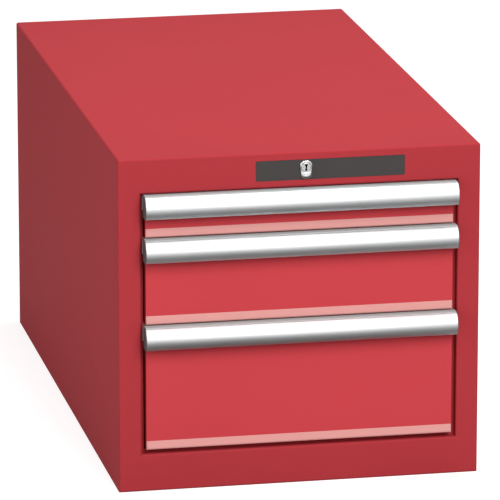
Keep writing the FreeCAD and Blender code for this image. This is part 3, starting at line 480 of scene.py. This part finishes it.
def piece(name, shells, slot, node, body, smooth_below=40):
    """One object from closed shells, smooth except across sharper edges, standing for a node."""
    vertices = np.concatenate([shell[0] for shell in shells])
    starts = np.cumsum([0] + [len(shell[0]) for shell in shells])
    faces = [[corner + int(start) for corner in face] for shell, start in zip(shells, starts)
             for face in shell[1]]
    mesh = bpy.data.meshes.new(name)
    mesh.from_pydata(vertices, [], faces)
    mesh.update()
    mesh.shade_smooth()
    mesh.set_sharp_from_angle(angle=math.radians(smooth_below))
    mesh.materials.append(FINISHES[slot])
    made = bpy.data.objects.new(name, mesh)
    bpy.context.scene.collection.objects.link(made)
    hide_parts(node)
    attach(made, body)
    print(name, len(mesh.polygons), "faces")
    return made


# %% [markdown]
# ## Handle strips
#
# Each strip reaches forward from the top of the drawer front and comes down in a round face, so that
# fingers can hook behind its foot. Its section is a path with one wall thickness: the web, a small brow,
# and an arc that leans back both at its top and at its foot. The polygon corner that such an arc turns
# lies radius / cos(half its turn) from the arc's centre. A leg behind stands in the finger pocket.

# %% Handle strips
WALL = 2.0 * MM
REACH = 19.8 * MM                             # in front of the drawer front
ROUND = 16.4 * MM                             # outside radius of the face
RISE, FALL = math.radians(50), math.radians(40)   # how far the face leans back at its top and foot
FLAT = 1.4 * MM                               # from the brow's corner to the arc
BROW = 3.0 * MM
TIP = 0.95 * MM
LEG = 16.8 * MM
POCKET = 8.0 * MM                             # pocket wall in front of the web's rear edge
LEG_ROOT, LEG_FOOT = 0.5 * MM, 0.3 * MM       # radii on the leg's outer side
SAWN_RIM = 0.2 * MM


def face_corners(front, top, depth=0.0):
    """The brow, the corner that the round face turns, and the foot, as (Y, Z), so deep in the wall."""
    radius = ROUND - depth
    middle = np.array((front - REACH + ROUND, top - ROUND * math.sin(RISE) - FLAT * math.cos(RISE)))
    brow = middle + np.array((-ROUND * math.cos(RISE) + FLAT * math.sin(RISE), 0))
    brow = np.array((brow[0] + depth * math.tan((math.pi / 2 - RISE) / 2), top - depth))
    lean = (RISE - FALL) / 2
    corner = middle + radius / math.cos((RISE + FALL) / 2) * np.array((-math.cos(lean), math.sin(lean)))
    foot = middle + np.array((-radius * math.cos(FALL) + TIP * math.sin(FALL),
                              -radius * math.sin(FALL) - TIP * math.cos(FALL)))
    return brow, corner, foot


def strip_outline(front, top, back):
    """The strip's section, going round it once: outer side from the rear, inner side back again."""
    outer, inner = face_corners(front, top), face_corners(front, top, WALL)
    radii = (BROW, ROUND, TIP)
    pocket, web = back - POCKET, top - WALL
    return [(back, top, 0), *((*corner, radius) for corner, radius in zip(outer, radii)),
            (*inner[2], TIP), (*inner[1], ROUND - WALL), (*inner[0], BROW - WALL),
            (pocket - WALL, web, LEG_ROOT), (pocket - WALL, web - LEG, LEG_FOOT),
            (pocket, web - LEG, LEG_FOOT), (pocket, web, 0), (back, web, 0)]


for number in DRAWERS:
    node = f"drawer_{number}_handle"
    start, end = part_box(node)
    outline = rounded(strip_outline(start.y + REACH, end.z, end.y), 3.0)
    strip_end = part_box(node + "_caps")[1].x - CAP_PLATE
    strip_shell = bar(outline, *rims(-strip_end, strip_end, SAWN_RIM, SAWN_RIM, 3))
    piece(f"handle_strip_{number}", [strip_shell], "handle_aluminium", node, f"drawer_{number}")

# %% [markdown]
# ## End caps and label strips
#
# The strip's open ends are closed by dark moulded caps, and a grey label strip lies on the web behind
# the brow. A cap is a plate with the handle's own outer curve. Only a thin plate stands outside the
# strip, so the cap shows from its own side and hardly at all from the other, and its rim is rounded, as
# a moulding's is.

# %% Caps
CAP_RIM = 0.4 * MM
CAP_CORNER = 0.8 * MM
LABEL = 0.8 * MM                              # thickness of the label strip
LABEL_GAP = 0.4 * MM
LABEL_ROUND = 0.2 * MM
CAP_BROW = 1.0 * MM                           # radius of a cap's upper front corner

for number in DRAWERS:
    node = f"drawer_{number}_handle_caps"
    start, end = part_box(node)
    inner = end.x - CAP_PLATE
    brow, corner, foot = face_corners(end.y, end.z - LABEL)
    brow = brow + np.array((LABEL * math.tan(RISE), LABEL))
    outline = rounded([(end.y, foot[1], CAP_CORNER), (end.y, end.z, CAP_CORNER), (*brow, CAP_BROW),
                       (*corner, ROUND), (*foot, CAP_CORNER)], 4.0)
    left = bar(outline, *rims(start.x, -inner, CAP_RIM, 0))
    right = bar(outline, *rims(inner, end.x, 0, CAP_RIM))
    front_edge, rear_edge = brow[0] + LABEL_GAP, end.y - LABEL_GAP
    ledge = [(front_edge, end.z - LABEL), (front_edge, end.z),
             (rear_edge, end.z), (rear_edge, end.z - LABEL)]
    label = bar(rounded([(*place, LABEL_ROUND) for place in ledge], 30.0), [-inner, inner], [0, 0])
    piece(f"handle_trim_{number}", [left, right, label], "cap_plastic", node, f"drawer_{number}")

# %% [markdown]
# ## The lock's face plate
#
# A bright shield with a rounded rim surrounds the lock's plug, and a bevel leads down to the plug. All of
# it is a set of rings round the lock's axis: the shield's outline for the outer ones and circles for the
# inner ones, every ring with the same number of points, so that quads join each to the next. The shield's
# ring needs its distance from the axis at even angles, which interpolation along its outline gives. The
# outline's straight sides are cut into short steps first, because only short steps stay straight there.

# %% Face plate
SHOULDER = (7.3 * MM, 7.5 * MM, 5.3 * MM)     # half width, height from the axis, corner radius
SHIELD_FOOT = (5.5 * MM, -12.6 * MM, 5.1 * MM)
SHIELD_EDGE = 0.9 * MM
BEVEL = 0.8 * MM                              # width and depth of the bevel round the plug
LAND = 0.15 * MM                              # the bevel's rounded upper edge: its width
BEVEL_DROP = 0.06 * MM                        # and its depth
PLUG_PLAY = 0.05 * MM
RING_POINTS = 128
STRAIGHT_STEPS = 20                           # short steps on each side of the shield

plug_low, plug_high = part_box("lock_plug")
axis = np.array(((plug_low.x + plug_high.x) / 2, (plug_low.z + plug_high.z) / 2))
bore = (plug_high.x - plug_low.x) / 2 + PLUG_PLAY
plate_low, plate_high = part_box("lock_escutcheon")
corners = [(side * width, height, radius) for side, (width, height, radius)
           in ((1, SHOULDER), (-1, SHOULDER), (-1, SHIELD_FOOT), (1, SHIELD_FOOT))]
shield = rounded(corners, 3.0)
shield = np.concatenate([np.linspace(here, there, STRAIGHT_STEPS, endpoint=False)
                         for here, there in zip(shield, np.roll(shield, -1, 0))])
angle = np.arctan2(shield[:, 1], shield[:, 0])
order = np.argsort(angle)
even = np.linspace(-math.pi, math.pi, RING_POINTS, endpoint=False)
reach = np.interp(even, angle[order], np.hypot(*shield[order].T), period=2 * math.pi)


def lock_ring(radius, y):
    """One ring at that distance from the lock's axis, and that place along Y."""
    across = axis[0] + radius * np.cos(even)
    upward = axis[1] + radius * np.sin(even)
    return np.stack([across, np.full(RING_POINTS, y), upward], 1)


turn = np.linspace(0, math.pi / 2, 6)
rings = [lock_ring(reach, plate_high.y)]
rings += [lock_ring(reach - SHIELD_EDGE * (1 - math.cos(t)),
                    plate_low.y + SHIELD_EDGE * (1 - math.sin(t))) for t in turn]
rings += [lock_ring(bore + BEVEL + LAND, plate_low.y),
          lock_ring(bore + BEVEL, plate_low.y + BEVEL_DROP),
          lock_ring(bore, plate_low.y + BEVEL), lock_ring(bore, plate_high.y)]
plate = (np.concatenate(rings), ringed(len(rings), RING_POINTS, closed=True).tolist())
piece("lock_face_plate", [plate], "lock_chrome", "lock_escutcheon", "housing", 30)

# %% [markdown]
# ## Floor and light
#
# The cabinet stands on a white floor in an even studio. Two things make the floor white without
# flooding the cabinet with light: lamps bring its diffuse surface part of the way, and a little glow
# seen only by the camera and by reflections brings it the rest. What the cabinet shades still shows as
# a soft shadow, because only the diffuse part loses its light.

# %% Floor
FLOOR_HALF = 12.0                             # metres
FLOOR_GREY = (0.55, 0.55, 0.55)
FLOOR_GLOW = 0.75
GLOSSY_SHARE = 0.7                            # of the glow that reflections see

floor_finish = Finish("floor")
paths = floor_finish.tree.nodes.new("ShaderNodeLightPath")
seen = Wave(floor_finish, paths.outputs["Is Camera Ray"])
seen = seen.larger(Wave(floor_finish, paths.outputs["Is Transmission Ray"]))
seen = seen.larger(Wave(floor_finish, paths.outputs["Is Glossy Ray"]) * GLOSSY_SHARE)
floor_finish.use(base_color=FLOOR_GREY, roughness=1.0, emission_color=(1, 1, 1))
floor_finish.feed(floor_finish.shader.inputs["Specular IOR Level"], 0.0)
floor_finish.feed(floor_finish.shader.inputs["Emission Strength"], seen * FLOOR_GLOW)
bpy.ops.mesh.primitive_plane_add(size=2 * FLOOR_HALF, location=(0, 0, low.z))
floor = bpy.context.object
floor.name = "floor"
floor.data.materials.append(floor_finish.material)

# %% [markdown]
# A photographer lays a dark card in front of shiny metal, so that its lower curves reflect something
# dark and the form reads. This card lies on the floor in front of the drawers, and only reflections see
# it, so the floor stays white.

# %% Dark card
CARD_DEPTH, CARD_WIDTH = 1.4, 2.4             # metres
CARD_HEIGHT = 2 * MM                          # above the floor
front_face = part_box("front_frame")[0].y - 0.5 * MM
bpy.ops.mesh.primitive_plane_add(size=1, location=(0, front_face - CARD_DEPTH / 2, low.z + CARD_HEIGHT))
card = bpy.context.object
card.name = "dark_card"
card.data.transform(Matrix.Diagonal((CARD_WIDTH, CARD_DEPTH, 1, 1)))
card_finish = Finish("dark_card", roughness=1.0, base_color=(0.01, 0.01, 0.01))
card_finish.feed(card_finish.shader.inputs["Specular IOR Level"], 0.0)
card.data.materials.append(card_finish.material)
for seen_by in ("visible_camera", "visible_diffuse", "visible_shadow", "visible_transmission"):
    setattr(card, seen_by, False)

# %% [markdown]
# Area lamps stand in for softboxes. A large one in front, above and a little to the right, lights the
# drawers, a small one hangs over the top, and a weaker one on the left keeps that side deeper. The world
# fills the rest. The camera and reflections see it at full white, so that metal shows a white studio.

# %% Lamps and world
SOFTBOXES = {                                 # place, target, width in metres, power in watts
    "key": ((0.5, -3.0, 2.2), (0, 0, 0.25), 2.0, 92),
    "top": ((0.3, 0.1, 2.0), (0.05, 0, 0.38), 0.9, 19),
    "left": ((-2.6, -1.2, 1.2), (0, 0, 0.2), 1.4, 21),
}
WORLD_LEVEL = 0.30
SEEN_WORLD_LEVEL = 1.0


def softbox(name, place, target, width, power):
    """A square area lamp, aimed at a point."""
    lamp = bpy.data.objects.new(name, bpy.data.lights.new(name, "AREA"))
    lamp.data.shape = "SQUARE"
    lamp.data.size = width
    lamp.data.energy = power
    lamp.location = place
    aim = Vector(target) - Vector(place)
    lamp.rotation_euler = aim.to_track_quat("-Z", "Y").to_euler()
    bpy.context.scene.collection.objects.link(lamp)


for name, (place, target, width, power) in SOFTBOXES.items():
    softbox(name, place, target, width, power)

world = bpy.data.worlds.new("studio")
bpy.context.scene.world = world
world.use_nodes = True
sky = world.node_tree
sky.nodes["Background"].inputs["Color"].default_value = (1, 1, 1, 1)
sky_paths = sky.nodes.new("ShaderNodeLightPath")
sky_level = sky.nodes.new("ShaderNodeMix")
sky_level.inputs[2].default_value = WORLD_LEVEL
sky_level.inputs[3].default_value = SEEN_WORLD_LEVEL
seen = sky_paths.outputs["Is Camera Ray"]
for ray in ("Is Glossy Ray", "Is Transmission Ray"):
    either = sky.nodes.new("ShaderNodeMath")
    either.operation = "MAXIMUM"
    sky.links.new(seen, either.inputs[0])
    sky.links.new(sky_paths.outputs[ray], either.inputs[1])
    seen = either.outputs[0]
sky.links.new(seen, sky_level.inputs[0])
sky.links.new(sky_level.outputs[0], sky.nodes["Background"].inputs["Strength"])
bpy.context.scene.view_settings.view_transform = "Standard"
print("lamps:", len(bpy.data.lights))
